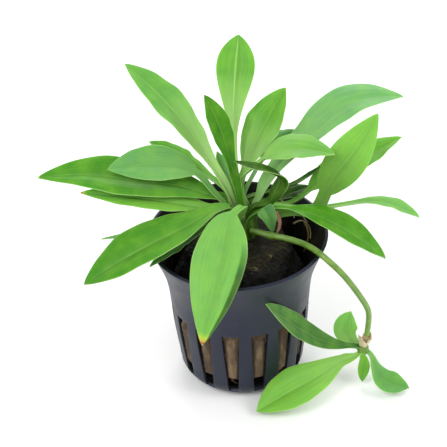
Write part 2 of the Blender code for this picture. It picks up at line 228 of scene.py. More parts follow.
def leaf_line(leaf):
    """The midrib's points in millimetres, those in the crown's ring first, and where the blade starts."""
    if leaf.ring is None:
        return leaf.points, leaf.start
    if leaf.ring == "plantlet":
        return [PLANTLET] + leaf.points, leaf.start + 1
    angle = math.radians(leaf.bearing)
    foot, neck = RINGS[leaf.ring]
    crown = [(CROWN_X + radius * math.cos(angle), CROWN_Y + radius * math.sin(angle), height)
             for radius, height in ((foot, STALK_FOOT), (neck, STALK_NECK))]
    return crown + leaf.points, leaf.start + 2


def bell(distance, width):
    """A smooth bump of height 1 that is about twice its width across."""
    return np.exp(-(distance / width) ** 2)


def leaf_surface(leaf, look, seed):
    """A leaf's points and the values that its material reads, each as an array of stations by columns.

    The midrib is a spline, and side is the direction across it, square to its tangent and turned about it.
    Half the width is that of the stalk, which fades towards the tip, plus that of a lance: the sine of pi
    times the reach, with the reach raised to the power that puts the widest place where it belongs.
    The upper side rises from the midrib by the fold, is arched by a sine on each half, sinks in a narrow
    bell at the midrib and at each vein, and waves at the margins. The underside lies one thickness below,
    rounded, with a rib under the midrib.
    """
    points, start = leaf_line(leaf)
    line, at, along = smooth_line(points, STATIONS)
    blade_start, end = along[start], along[-1]
    reach = np.clip((at - blade_start) / (end - blade_start), 0, 1)
    tangent = unit(np.gradient(line, axis=0))
    lean = math.radians(leaf.faces)
    side = np.array([-math.sin(lean), math.cos(lean), 0.0])
    side = unit(side - tangent * (tangent @ side)[:, None])
    up = np.cross(tangent, side)
    turn = np.radians(np.interp(at, [0.0, blade_start, end], leaf.turn))[:, None]
    side, up = np.cos(turn) * side + np.sin(turn) * up, np.cos(turn) * up - np.sin(turn) * side

    lance = np.sin(math.pi * reach ** (math.log(0.5) / math.log(leaf.widest))).clip(0) ** 0.85
    foot = min(leaf.stalk, FOOT_WIDTH)
    broad = along[1] + 0.7 * (blade_start - along[1])
    stalk = np.interp(at, [0.0, along[1], broad], [foot, foot, leaf.stalk]) * (1 - reach**2)
    half = 0.5 * (stalk + (leaf.blade - leaf.stalk * (1 - leaf.widest**2)) * lance) + 0.12
    half = (half * np.sqrt(1 - np.clip((at - end + 1.2) / 1.25, 0, 1) ** 2))[:, None]
    thick = np.interp(at, [0.0, blade_start, 0.5 * (blade_start + end), end], [0.8, 0.7, 0.35, 0.2])[:, None]

    across = ACROSS[None, :]
    out = np.abs(across)
    grown = np.clip(reach * 6, 0, 1)[:, None]
    rise = half * out * math.sin(math.radians(FOLD)) + 0.09 * half * np.sin(math.pi * out) * grown
    rise = rise - 0.15 * np.minimum(1, half / 2) * bell(across * half, 0.55)
    for vein in VEINS:
        rise = rise - 0.07 * grown * bell((out - vein) * half, 0.22)
    phase = np.random.default_rng(seed).uniform(0, 2 * math.pi, 4)
    swing = np.sin(3.1 * 2 * math.pi * reach + phase[0]) + 0.6 * np.sin(5.3 * 2 * math.pi * reach + phase[1])
    other = np.sin(2.7 * 2 * math.pi * reach + phase[2]) + 0.6 * np.sin(4.9 * 2 * math.pi * reach + phase[3])
    wave = np.where(across < 0, swing[:, None], other[:, None]) * out**3 * look.wave * grown
    bent = np.where(across < 0, look.right, look.left) * np.clip((out - 0.4) / 0.6, 0, 1) ** 2
    rise = rise + (wave + bent) * np.minimum(1, half / 4) * np.sin(math.pi * reach.clip(0.02, 0.98))[:, None]
    # Painted shade: a band along a bent margin, from a quarter of the blade's length on, is made less fresh
    # and darker
    bend = np.abs(np.where(across < 0, look.right, look.left))
    fold_shade = np.minimum(bend, 1) * np.clip((out - 0.76) / 0.05, 0, 1)
    fold_shade = np.concatenate([fold_shade, fold_shade[:, ::-1]], axis=1)
    rib = 0.35 * thick * bell(across * half, 0.6)
    under = rise - 0.14 - thick * np.sqrt(1 - out**2) - rib

    breadth = half * across * math.cos(math.radians(FOLD))
    upper = line[:, None] + side[:, None] * breadth[..., None] + up[:, None] * rise[..., None]
    lower = line[:, None] + side[:, None] * breadth[..., None] + up[:, None] * under[..., None]
    surface = np.concatenate([upper, lower[:, ::-1]], axis=1)
    level = np.ones_like(surface[..., 0])
    values = {
        "across": np.concatenate([across, across[:, ::-1]], axis=1) * level,
        "reach": reach[:, None] * level,
        "along": at[:, None] * level,
        "brown": level * np.clip((at - end + look.brown) / max(look.brown, 0.01), 0, 1)[:, None]
        * (look.brown > 0),
        "fresh": look.fresh * (1 - fold_shade * np.clip(4 * reach - 1, 0, 1)[:, None]),
        "bloom": level * look.bloom,
        "rib": level * look.rib,
        "pale": level * look.pale * np.clip(1 - reach / 0.65, 0, 1)[:, None],
        # Painted shade, partly also older tissue: stalk feet in the crown darken up to 7 mm out, fading over
        # 9 mm; a foot whose pale is below zero darkens; and a bent margin's band
        "shade": level * np.maximum((leaf.ring in RINGS) * np.clip(1 - (at - 7) / 9, 0, 1),
                                    -look.pale * np.clip(1 - reach / 0.6, 0, 1))[:, None]
        + fold_shade * np.clip(4 * reach - 1, 0, 1)[:, None],
    }
    return surface, values


print("columns across a blade:", len(ACROSS), "on each side of", STATIONS, "stations")

# %% [markdown]
# ## The finish of a living leaf
# A leaf is a thin, wet tissue under a film of wax. The wax gives a soft broad shine, and light that enters
# is scattered and comes out green on both sides, which is what subsurface scattering does. The midrib and
# the veins hold less green than the cells between them, so they are paler. Old leaves are deep green, young
# ones pale, and some have a blue bloom, partly painted sky sheen. The feet of the stalks and a bent margin
# are darkened with painted shade. All of this follows the surface through attributes of each point.

# %% Leaf tissue
def make_leaf_tissue():
    made, tree, shader = new_material("leaf_tissue", Roughness=0.48, Specular_IOR_Level=0.18,
                                      Subsurface_Weight=0.3, Subsurface_Scale=0.001,
                                      Subsurface_Radius=(0.6, 1.2, 0.25))
    value = {title: add_node(tree, "ShaderNodeAttribute", attribute_name=title).outputs["Fac"]
             for title in ("across", "reach", "along", "brown", "fresh", "bloom", "rib", "pale", "shade")}
    place = add_node(tree, "ShaderNodeTexCoord").outputs["Object"]
    out = add_node(tree, "ShaderNodeMath", {0: value["across"]}, operation="ABSOLUTE").outputs[0]
    green = add_node(tree, "ShaderNodeValToRGB", {0: value["fresh"]}, stops=[
        (0.0, "#164300"), (0.35, "#327b00"), (1.0, "#76b246")]).outputs["Color"]
    # The blue bloom: the blue-grey of the wax, partly painted sky sheen
    green = blend_colour(tree, value["bloom"], green, "#7ab07c")
    green = blend_colour(tree, value["pale"], green, "#a9cf80")

    # Patches of 5 mm and fine streaks along the veins, 0.4 mm apart
    patches = add_node(tree, "ShaderNodeTexNoise", {"Vector": place, "Scale": 190.0, "Detail": 4.0})
    patchy = add_node(tree, "ShaderNodeMapRange", {
        0: patches.outputs["Fac"], 1: 0.35, 2: 0.65, 3: 0.0, 4: 0.35})
    green = blend_colour(tree, patchy.outputs[0], green, blend_colour(tree, 0.5, green, "#9ad03c"))
    run_across = add_node(tree, "ShaderNodeMath", {0: value["across"], 1: 14.0}, operation="MULTIPLY")
    run_along = add_node(tree, "ShaderNodeMath", {0: value["along"], 1: 0.12}, operation="MULTIPLY")
    run = add_node(tree, "ShaderNodeCombineXYZ", {0: run_across.outputs[0], 1: run_along.outputs[0]})
    streaks = add_node(tree, "ShaderNodeTexNoise", {"Vector": run.outputs[0], "Scale": 1.0, "Detail": 3.0})
    streaky = add_node(tree, "ShaderNodeMapRange", {
        0: streaks.outputs["Fac"], 1: 0.4, 2: 0.7, 3: 0.0, 4: 0.22})
    green = blend_colour(tree, streaky.outputs[0], green, blend_colour(tree, 0.6, green, "#1f5a10"))

    # Pale midrib, side veins and margin, then the dried tip
    ribs = add_node(tree, "ShaderNodeValToRGB", {0: out}, stops=[
        (0.0, "#c8c8c8"), (0.07, "#404040"), (0.1, "#000000"), (0.33, "#000000"), (0.36, "#565656"),
        (0.39, "#000000"), (0.66, "#000000"), (0.69, "#484848"), (0.72, "#000000")])
    pale = add_node(tree, "ShaderNodeMath", {0: ribs.outputs["Color"], 1: value["rib"]}, operation="MULTIPLY")
    green = blend_colour(tree, pale.outputs[0], green, "#b8d98c")
    margin = add_node(tree, "ShaderNodeMapRange", {0: out, 1: 0.955, 2: 1.0, 3: 0.0, 4: 0.5})
    green = blend_colour(tree, margin.outputs[0], green, "#b8d98c")
    dried = add_node(tree, "ShaderNodeValToRGB", {0: value["brown"]}, stops=[
        (0.0, "#86b83a"), (0.5, "#a8c044"), (0.72, "#c0a04a"), (0.86, "#8a5a34"), (1.0, "#d8c296")])
    faded = add_node(tree, "ShaderNodeMapRange", {0: value["brown"], 1: 0.1, 2: 0.5, 3: 0.0, 4: 1.0})
    green = blend_colour(tree, faded.outputs[0], green, dried.outputs["Color"])
    # Painted shade: the green is mixed towards dark olive by each point's shade value
    shaded = add_node(tree, "ShaderNodeMath", {0: value["shade"], 1: 0.65}, operation="MULTIPLY")
    green = blend_colour(tree, shaded.outputs[0], green, "#33520c")
    tree.links.new(green, shader.inputs["Base Color"])

    # Cells and cross veins as a shallow relief
    cells = add_node(tree, "ShaderNodeTexNoise", {"Vector": place, "Scale": 1600.0, "Detail": 2.0})
    relief = add_node(tree, "ShaderNodeMath", {0: streaks.outputs["Fac"], 1: cells.outputs["Fac"]},
                      operation="ADD")
    bump = add_node(tree, "ShaderNodeBump", {
        "Height": relief.outputs[0], "Strength": 0.35, "Distance": 0.00012})
    tree.links.new(bump.outputs[0], shader.inputs["Normal"])
    return made


leaf_tissue = make_leaf_tissue()
print("leaf tissue has", len(leaf_tissue.node_tree.nodes), "nodes")

# %% [markdown]
# ## Withered tissue
# When a leaf or a bract dies, it loses its water and its green. What stays is a thin brown paper with dark
# lines where its veins were. It has no shine left, so its roughness is high and its relief is stronger.

# %% Dry tissue
def make_dry_tissue():
    made, tree, shader = new_material("dry_leaf_tissue", Roughness=0.8, IOR=1.45)
    across = add_node(tree, "ShaderNodeAttribute", attribute_name="across").outputs["Fac"]
    along = add_node(tree, "ShaderNodeAttribute", attribute_name="along").outputs["Fac"]
    wide = add_node(tree, "ShaderNodeMath", {0: across, 1: 6.0}, operation="MULTIPLY").outputs[0]
    long = add_node(tree, "ShaderNodeMath", {0: along, 1: 0.25}, operation="MULTIPLY").outputs[0]
    run = add_node(tree, "ShaderNodeCombineXYZ", {0: wide, 1: long})
    streaks = add_node(tree, "ShaderNodeTexNoise", {"Vector": run.outputs[0], "Scale": 1.0, "Detail": 5.0})
    brown = add_node(tree, "ShaderNodeValToRGB", {0: streaks.outputs["Fac"]}, stops=[
        (0.3, "#4a2a20"), (0.5, "#8a6450"), (0.7, "#c09c84")])
    fresh = add_node(tree, "ShaderNodeAttribute", attribute_name="fresh").outputs["Fac"]
    bloom = add_node(tree, "ShaderNodeAttribute", attribute_name="bloom").outputs["Fac"]
    colour = blend_colour(tree, fresh, brown.outputs["Color"], "#43401a")
    colour = blend_colour(tree, bloom, colour, "#d9cda5")
    tree.links.new(colour, shader.inputs["Base Color"])
    bump = add_node(tree, "ShaderNodeBump", {
        "Height": streaks.outputs["Fac"], "Strength": 0.6, "Distance": 0.0003})
    tree.links.new(bump.outputs[0], shader.inputs["Normal"])
    return made


dry_tissue = make_dry_tissue()
print("dry tissue has", len(dry_tissue.node_tree.nodes), "nodes")

# %% [markdown]
# ## All leaves
# Each leaf is described by the few points that its midrib passes and by its widths, and what the eye adds:
# how fresh its green is, how blue its bloom, whether its tip has dried. Young ones stand up in the middle of
# the rosette, old ones hang out over the rim. One has withered and lies brown between the others.

# %% The leaves of the rosette, of the runner and of the young plant
# Low freshness is partly painted shade: leaf_03, leaf_20, leaf_23 and leaf_24, which stand in the rosette's
# shade, get a deeper green than their age
LEAVES = {
    "leaf_01": (Leaf("inner", 92, [(-0.1, 9, 72), (-0.1, 13, 79), (0.9, 22, 93), (2.9, 32, 105)],
            1, 2.2, 12, 0.7, LEVEL, 90), Look(fresh=0.7, rib=1.0, pale=1.0)),
    "leaf_02": (Leaf("inner", 180, [(-6.2, 8, 72), (-18, 15, 88.9), (-32.3, 24, 101.2)],
            0, 3.6, 13, 0.62, LEVEL, 150), Look(fresh=0.62, bloom=0.15, rib=0.6, pale=0.9)),
    "leaf_03": (Leaf("inner", -80, [(-1.3, 4, 77), (-4.6, 6, 90), (-8.3, 8, 99)],
            0, 3.0, 7, 0.6, LEVEL, 120), Look(fresh=0.28, pale=-0.2)),
    "leaf_04": (Leaf("middle", 47, [(1.6, 6, 63.5), (3.2, 10, 70), (9.9, 18, 81), (16.7, 24, 90)],
            1, 2.2, 12, 0.54, LEVEL, 60), Look(fresh=0.65, pale=0.8)),
    "leaf_05": (Leaf("middle", 3, [(6.7, 4.5, 62), (8.6, 6.5, 65.1), (11.3, 9, 68.3), (15.4, 12, 71.4),
            (22.9, 17.5, 75.4), (35.7, 23, 83.2), (53.7, 26, 83.5)],
            2, 5.6, 15, 0.66, (-30, 0, 0), 27), Look(fresh=0.48, bloom=0.58, pale=0.4, wave=0.2)),
    "leaf_06": (Leaf("inner", 2, [(1.4, 6, 69.2), (5, 6.4, 72.8), (9, 6.3, 76.3), (18.7, 5.5, 79.3),
            (30.7, 3, 78.7)],
            2, 1.2, 13, 0.45, LEVEL, 0), Look(fresh=0.68, bloom=0.15, wave=0.2)),
    "leaf_07": (Leaf("outer", -23, [(9, 0.3, 58.5), (17, 1.5, 58.7), (24.3, 1.5, 59), (27.6, 3.5, 64),
            (34.6, 7, 73.5), (44.6, 13, 86.2)],
            3, 4.0, 12.6, 0.45, (0, 40, 30), 40), Look(fresh=0.95, pale=-0.9, wave=0.2)),
    "leaf_08": (Leaf("outer", 29, [(15.7, 7, 58), (23, 10, 60.7), (37.4, 16, 66), (52.9, 22, 71)],
            1, 1.4, 13.5, 0.45, LEVEL, 20), Look(fresh=0.9, pale=-0.4)),
    "leaf_09": (Leaf("outer", 0, [(20.7, 5, 57.6), (33.7, 8, 56.1), (46.7, 10, 54.3), (57.7, 8, 49.5)],
            1, 1.2, 6.6, 0.72, LEVEL, 5), Look(fresh=0.75, bloom=0.3, wave=0.2)),
    "leaf_10": (Leaf("outer", -60, [(9.7, 0, 61.6), (16.2, -1, 62), (30.9, -5, 57.4), (45.4, -10, 47.8)],
            1, 1.1, 12, 0.54, LEVEL, -15), Look(fresh=0.38, pale=0.0, wave=0.1)),
    "leaf_11": (Leaf("outer", -99, [(2.1, -3.3, 65.2), (-1.3, -7.8, 65.6), (-4.3, -16, 62.3),
            (-7.3, -28, 57), (-12.3, -41, 42)],
            1, 2.4, 16.5, 0.42, LEVEL, -110),
        Look(fresh=0.85, bloom=0.2, brown=4.5, left=-1.6, rib=0.15, pale=0.0, wave=0.15)),
    "leaf_12": (Leaf("outer", 205, [(-1.9, -1.2, 63.6), (-6.3, -1.5, 63.2), (-11.3, -4, 62),
            (-29.5, -12, 57), (-48, -16, 47.4)],
            0, 1.6, 18.4, 0.60, LEVEL, 200), Look(fresh=0.45, pale=0.1, wave=0.2)),
    "leaf_13": (Leaf("outer", 109, [(-7.3, 6, 63), (-14.3, 7, 65.2), (-30.3, 8, 68.3), (-45.3, 10, 70),
            (-61.4, 10, 69.8)],
            0, 3.0, 15, 0.52, (0, -15, -15), 175), Look(fresh=0.44, brown=0.8, pale=0.1, wave=0.2)),
    "leaf_14": (Leaf("outer", 145, [(-8.2, 3.5, 60.6), (-16.3, 3, 62.2), (-24.3, 3, 64.1), (-48.3, 6, 66.3)],
            0, 1.6, 9, 0.50, (0, -15, -15), 178), Look(fresh=0.85, brown=2.5, pale=0.1, wave=0.2)),
    "leaf_15": (Leaf("middle", 198, [(-3, 3.4, 60.6), (-6.9, 6, 64.3), (-12.3, 8, 70.6), (-16.3, 8, 72.6),
            (-29.3, 8, 74.2), (-39.3, 7, 74)],
            2, 2.2, 12.5, 0.5, (0, -25, -25), 170), Look(fresh=0.5, bloom=0.4, rib=0.2, pale=0.2, wave=0.15)),
    "leaf_16": (Leaf("middle", 157, [(-2.2, 6.6, 62.5), (-7.3, 10.4, 66.5), (-15.3, 14, 70.6),
            (-26.3, 18, 76.1)],
            1, 2.0, 8, 0.60, LEVEL, 155), Look(fresh=0.72)),
    "leaf_17": (Leaf(None, 0, [(-4.5, 5.5, 51.3), (-8.5, 7, 55), (-12, 8, 59), (-15.4, 8.3, 61.3)],
            1, 1.2, 2.6, 0.50, LEVEL, 170), Look(fresh=0.6)),
    "leaf_18": (Leaf("outer", 177, [(-8.3, 1, 58.5), (-15.3, 0, 57), (-27.3, -1.5, 55.6), (-42.3, -4.5, 56)],
            1, 1.4, 3, 0.35, LEVEL, 185), Look(fresh=0.1, bloom=0.4, brown=0.5)),
    "leaf_19": (Leaf("outer", 233, [(-9.3, -5, 59.5), (-19.2, -9, 55), (-23.3, -11.7, 53.5),
            (-27.6, -14.2, 51.8)],
            0, 1.4, 5, 0.50, LEVEL, 210), Look(fresh=0.25, bloom=0.2)),
    "leaf_20": (Leaf("middle", -36, [(5.2, 1.6, 61.2), (8.4, 1.8, 61.6), (11, 2, 63.4), (12.6, 2.2, 66.6),
            (14.3, 2.3, 70.8), (10.9, 1.6, 74.3), (5.7, 1.4, 76.6), (-0.3, 1.4, 78.9)],
            2, 2.6, 5.2, 0.4, (80, 60, -30), 180), Look(fresh=0.0, wave=0.0, pale=-0.5)),
    "leaf_21": (Leaf("middle", 126, [(-1.3, 8, 66), (-3.3, 11, 69), (-5.3, 14, 74)],
            0, 0.9, 4, 0.50, LEVEL, 120), Look(fresh=0.3, bloom=0.5)),
    "leaf_22": (Leaf("middle", 87, [(2.3, 7.2, 62), (5, 11.2, 65.4), (8.7, 17, 68), (14.7, 22, 72),
            (20.7, 25, 73)],
            2, 1.0, 7, 0.50, LEVEL, 40), Look(fresh=0.4, bloom=0.6)),
    "leaf_23": (Leaf("outer", 61, [(10.7, 9, 58.5), (16.7, 12, 58), (23.7, 15, 58.5)],
            0, 1.1, 6, 0.50, LEVEL, 30), Look(fresh=0.0, pale=-0.5)),
    "leaf_24": (Leaf("outer", 86, [(9.7, 11, 60), (19.7, 14, 61.4), (25.3, 15.6, 64), (28.3, 16.6, 65.6)],
            1, 0.9, 1.4, 0.50, LEVEL, 30), Look(fresh=0.05, pale=-0.3)),
    "node_leaf": (Leaf(None, 0, [(8.2, -1.9, 63.1), (9.7, -2.9, 60.8), (10.4, -3.2, 57.2), (10.9, -3, 54.2)],
            0, 1.0, 5.5, 0.12, LEVEL, 270), Look(fresh=0.15, bloom=0.3, wave=0.0, rib=0.0, pale=0.0)),
    "node_bract": (Leaf(None, 0, [(12.1, -2.6, 61.6), (13, -2.8, 58.6), (12.7, -3.2, 55.6),
            (11.7, -3.4, 53.6)],
            0, 0.7, 0.9, 0.4, LEVEL, 270), Look(fresh=0.0, wave=0.1)),
    "plantlet_leaf_1": (Leaf("plantlet", 0, [(36.7, -11, 13.3), (33.7, -12, 14.6), (24.7, -16, 20.9),
            (14.7, -21, 33), (7.7, -26, 44.7)],
            1, 1.6, 8, 0.58, (0, -40, -40), 205), Look(fresh=0.12, bloom=0.1, wave=0.1, pale=0.0)),
    "plantlet_leaf_2": (Leaf("plantlet", 0, [(36.7, -12, 10.8), (31.7, -14.3, 10.4), (25.7, -18, 9.3),
            (14.7, -23, 6.2), (3.5, -27, 1.8)],
            1, 3.8, 14, 0.60, (0, -20, -10), 205), Look(fresh=0.95, wave=0.15, pale=0.3)),
    "plantlet_leaf_3": (Leaf("plantlet", 0, [(36.9, -9.5, 12.6), (33.8, -7.5, 15), (33.2, -6.5, 18.5),
            (35.1, -5, 22.8)],
            0, 2.0, 7.6, 0.60, LEVEL, 90), Look(fresh=1.0, bloom=0.2, wave=0.0, pale=0.5)),
    "plantlet_leaf_4": (Leaf("plantlet", 0, [(38.3, -12.3, 10.6), (38.6, -13, 9), (38.3, -14, 5),
            (38, -15, 1.5)],
            0, 1.4, 3.6, 0.50, LEVEL, 270), Look(fresh=0.7, wave=0.1, pale=0.0)),
    "plantlet_leaf_5": (Leaf("plantlet", 0, [(40.7, -10.8, 10), (41.9, -12.8, 7.3), (45.2, -17, 3.2),
            (52.6, -19.3, 2.3)],
            0, 1.4, 9.6, 0.68, LEVEL, 320), Look(fresh=0.35, bloom=0.3, wave=0.1, pale=0.2)),
}


def make_leaf(name, leaf, look, seed):
    surface, values = leaf_surface(leaf, look, seed)
    withered = name in ("leaf_17", "node_bract")
    finish, slot = (dry_tissue, "dry_leaf") if withered else (leaf_tissue, "leaf")
    return add_piece(name + "_blade", surface, tube_faces(*surface.shape[:2]), finish, [name], values)


for seed, (name, (leaf, look)) in enumerate(LEAVES.items()):
    make_leaf(name, leaf, look, seed)
print("leaves made:", len(LEAVES))

# %% [markdown]
# ## The runner
# A runner is a long flower stalk that gives up flowering: it bends over, and young plants grow on it. It is
# a round stem of about 2 mm with fine ridges, a little thicker where a joint lies. A circle carried along a
# spline gives the stem, and a bell added to its radius gives each joint.

# %% A round stem along a line
RUNNER_POINTS = [(3.9, -1.8, 54.6), (6.7, -3, 54.4), (9.9, -4, 53.9), (13, -5, 53.8), (16.7, -7, 54),
                 (20.1, -9.5, 54.2), (23.7, -13.3, 54.2), (26.1, -15.8, 53.5), (28.3, -17, 51.8),
                 (30.7, -17.3, 49), (33.9, -17, 44), (37.7, -15.2, 36), (39.7, -13, 30), (40.2, -11, 24),
                 (39.7, -10, 17)]
RUNNER_THICK = 2.0
RUNNER_JOINT = 6.6                        # the first joint's distance from the runner's start


def stem_surface(line, radius, sides, ridges=0, depth=0.0):
    """A tube: a circle square to the line at each point, its radius rippled by a cosine round the axis."""
    tangent = unit(np.gradient(line, axis=0))
    side = unit(np.cross(tangent, [0.3, 1.0, 0.2]))
    up = np.cross(tangent, side)
    turn = 2 * math.pi * np.arange(sides) / sides
    reach = np.broadcast_to(radius, len(line))[:, None] + depth * np.cos(ridges * turn)[None, :]
    ring = side[:, None] * np.cos(turn)[:, None] + up[:, None] * np.sin(turn)[:, None]
    return line[:, None] + ring * reach[..., None]


def make_stem_tissue():
    made, tree, shader = new_material("stem_tissue", Roughness=0.38, IOR=1.45, Subsurface_Weight=0.25,
                                      Subsurface_Scale=0.001, Subsurface_Radius=(0.8, 1.4, 0.3))
    along = add_node(tree, "ShaderNodeAttribute", attribute_name="along").outputs["Fac"]
    place = add_node(tree, "ShaderNodeTexCoord").outputs["Object"]
    patches = add_node(tree, "ShaderNodeTexNoise", {"Vector": place, "Scale": 260.0, "Detail": 4.0})
    green = add_node(tree, "ShaderNodeValToRGB", {0: patches.outputs["Fac"]}, stops=[
        (0.3, "#4f7420"), (0.5, "#628630"), (0.7, "#7d9c48")])
    young = add_node(tree, "ShaderNodeMapRange", {0: along, 1: 30.0, 2: 60.0, 3: 0.0, 4: 0.5})
    colour = blend_colour(tree, young.outputs[0], green.outputs["Color"], "#7aa24c")
    tree.links.new(colour, shader.inputs["Base Color"])
    bump = add_node(tree, "ShaderNodeBump", {
        "Height": patches.outputs["Fac"], "Strength": 0.3, "Distance": 0.0002})
    tree.links.new(bump.outputs[0], shader.inputs["Normal"])
    return made


stem_tissue = make_stem_tissue()
line, at, _ = smooth_line(RUNNER_POINTS, 220)
radius = RUNNER_THICK / 2 * (1 + 0.3 * bell(at - RUNNER_JOINT, 1.2) - 0.12 * at / at[-1])
runner = stem_surface(line, radius, 20, ridges=5, depth=0.04)
add_piece("runner_stem", runner, tube_faces(*runner.shape[:2]), stem_tissue, ["runner"],
          {"along": at[:, None] * np.ones(20)})
print("the runner is", round(float(at[-1])), "mm long")

# %% [markdown]
# ## The crown and the young plant's crown
# Where the stalks meet they wrap round one another and form a short swollen crown. It is hidden between the
# stalks, but its ribbed side closes the gaps. The young plant has the same in small, in a dry papery sheath.
# Both are stems with a radius that swells, and ridges that stand for the edges of the wrapped stalks.

# %% Crowns and the papery sheath
CROWN_RADIUS, CROWN_FOOT = 4.6, 49.6


def make_crown(name, foot, height, widths, ridges, node):
    heights = np.linspace(0, height, 40)
    line = np.array(foot) + np.stack([0.02 * heights, 0 * heights, heights], axis=1)
    radius = np.interp(heights / height, np.linspace(0, 1, len(widths)), widths)
    surface = stem_surface(line, radius, 60, ridges, depth=0.05 * max(widths))
    values = {"along": heights[:, None] * np.ones(60)}
    return add_piece(name, surface, tube_faces(40, 60), stem_tissue, [node], values)


make_crown("crown_base", (CROWN_X, CROWN_Y, CROWN_FOOT), 10, [4.6, 4.9, 4.7, 4.3, 3.6, 1.6], 9, "crown")
make_crown("plantlet_crown_base", (PLANTLET[0], PLANTLET[1], PLANTLET[2] - 2.2), 4.4,
           [0.7, 1.7, 1.9, 1.7, 1.0], 5, "plantlet_crown")
print("crown foot at", CROWN_FOOT, "mm")


def make_sheath():
    """A torn paper cone: a ring whose radius widens upwards, whose upper edge is ragged, with a thin wall."""
    columns, rows = 72, 14
    turn = 2 * math.pi * np.arange(columns) / columns
    up = np.linspace(0, 1, rows)[:, None]
    ragged = 3.4 + 0.9 * np.sin(2 * turn + 0.6) + 0.5 * np.sin(5 * turn) + 0.25 * np.sin(11 * turn + 1.0)
    radius = 1.3 + 0.7 * up + 0.14 * np.sin(4 * turn + 3 * up)
    offsets = [0.2 + radius * np.cos(turn) + 0.5 * up, radius * np.sin(turn), 1.6 + ragged * up]
    points = np.stack(offsets, axis=-1) + np.array(PLANTLET)
    values = {"across": np.sin(turn) + 0 * up, "along": 4 * up + 0 * turn, "bloom": 0.8 + 0 * up * turn}
    faces = grid_faces(rows, columns, closed=True).tolist()
    sheath = add_piece("plantlet_sheath_paper", points, faces, dry_tissue, ["plantlet_sheath"],
                       values)
    wall = sheath.modifiers.new("wall", "SOLIDIFY")
    wall.thickness = 0.15 * MM
    wall.offset = 0.0
    return sheath


make_sheath()

# %% [markdown]
# ## The net pot
# The pot is moulded in black polypropylene: a thin cup with a flared collar and tall slots that taper to the
# foot, so that roots can grow through. A mould can only make walls of even thickness, and so can a Solidify
# modifier. The script turns the outer profile about Z, leaves out the faces where a slot or a drain is, and
# lets Solidify grow the wall inwards. A narrow Bevel then rounds every edge, as the polished mould does.

# %% The pot's wall with its slots
RIM_RADIUS, RIM_HEIGHT = 28.2, 52.0
COLLAR_RADIUS, COLLAR_HEIGHT = 25.7, 46.0
SHOULDER_RADIUS, SHOULDER_HEIGHT = 23.7, 40.0
WAIST_RADIUS, WAIST_HEIGHT = 21.7, 22.0
FOOT_RADIUS, FOOT_CURVE = 20.0, 7.0
WALL = 1.0
SLOTS, SLOT_TURN = 15, 14.1
SLOT_TOP, SLOT_TOP_WIDTH = 28.2, 5.6
SLOT_BOTTOM, SLOT_BOTTOM_WIDTH = 2.8, 3.0
DRAIN_FROM, DRAIN_TO, DRAIN_WIDTH = 5.0, 11.0, 2.2
SECTOR = 12                               # columns of faces in each slot's share of the pot
SLOT_COLUMNS = 4                          # those of them that the slot takes


def pot_profile():
    """Radius, height and slot width at each row: flat base, rounded foot, and a spline up the flared wall."""
    arc_centre = FOOT_RADIUS - FOOT_CURVE
    base = np.concatenate([[0.8, 3.0], np.linspace(DRAIN_FROM, DRAIN_TO, 4), [12.0]])
    slot_start = math.asin((SLOT_BOTTOM - FOOT_CURVE) / FOOT_CURVE)
    turn = np.concatenate([np.linspace(-math.pi / 2, slot_start, 7), np.linspace(slot_start, 0, 7)[1:-1]])
    knots = [(FOOT_RADIUS, 0, FOOT_CURVE), (WAIST_RADIUS, 0, WAIST_HEIGHT),
             (SHOULDER_RADIUS, 0, SHOULDER_HEIGHT), (COLLAR_RADIUS, 0, COLLAR_HEIGHT),
             (RIM_RADIUS, 0, RIM_HEIGHT)]
    wall, _, _ = smooth_line(knots, 200)
    heights = np.concatenate([
        np.linspace(FOOT_CURVE, SLOT_TOP, 12), np.linspace(SLOT_TOP, RIM_HEIGHT, 24)[1:]])
    wall_radius = np.interp(heights, wall[:, 2], wall[:, 0])
    radius = np.concatenate([base, arc_centre + FOOT_CURVE * np.cos(turn), wall_radius])
    height = np.concatenate([0 * base, FOOT_CURVE + FOOT_CURVE * np.sin(turn), heights])
    width = np.interp(height, [SLOT_BOTTOM, SLOT_TOP], [SLOT_BOTTOM_WIDTH, SLOT_TOP_WIDTH])
    width = np.where(height < 0.01, DRAIN_WIDTH, width)
    return radius, height, np.minimum(width, 1.2 * radius)


def make_pot(finish):
    radius, height, width = pot_profile()
    share = 2 * math.pi / SLOTS
    place = np.tile(np.linspace(-1, 1, SECTOR + 1)[:-1], SLOTS)[None, :]
    edge = SLOT_COLUMNS / SECTOR
    slot = np.arcsin(width / 2 / radius)[:, None]
    outside = np.sign(place) * (slot + (np.abs(place) - edge) / (1 - edge) * (share / 2 - slot))
    turn = np.where(np.abs(place) <= edge, place / edge * slot, outside)
    turn = turn + np.repeat(np.arange(SLOTS) * share, SECTOR) + math.radians(SLOT_TURN)
    points = np.stack([radius[:, None] * np.sin(turn), -radius[:, None] * np.cos(turn),
                       height[:, None] + 0 * turn], axis=-1)
    rows, columns = turn.shape
    faces = grid_faces(rows, columns, closed=True).reshape(rows - 1, columns, 4)
    middle = (height[1:] + height[:-1])[:, None] / 2
    centre = (radius[1:] + radius[:-1])[:, None] / 2
    first = (SECTOR - SLOT_COLUMNS) // 2
    column = np.arange(columns)
    in_slot = (column % SECTOR >= first) & (column % SECTOR < first + SLOT_COLUMNS)
    in_drain = in_slot & (column // SECTOR % 3 == 0)
    open_slot = in_slot & (middle > SLOT_BOTTOM) & (middle < SLOT_TOP)
    open_drain = in_drain & (middle < 0.01) & (centre > DRAIN_FROM) & (centre < DRAIN_TO)
    kept = faces[~(open_slot | open_drain)].tolist() + [list(range(columns))[::-1]]
    pot = add_piece("net_pot", points, kept, finish, ["pot"])
    wall = pot.modifiers.new("wall", "SOLIDIFY")
    wall.thickness = WALL * MM
    wall.offset = -1.0
    rounding = pot.modifiers.new("rounding", "BEVEL")
    rounding.width = 0.18 * MM
    rounding.segments = 2
    rounding.limit_method = "ANGLE"
    rounding.angle_limit = math.radians(50)
    return pot


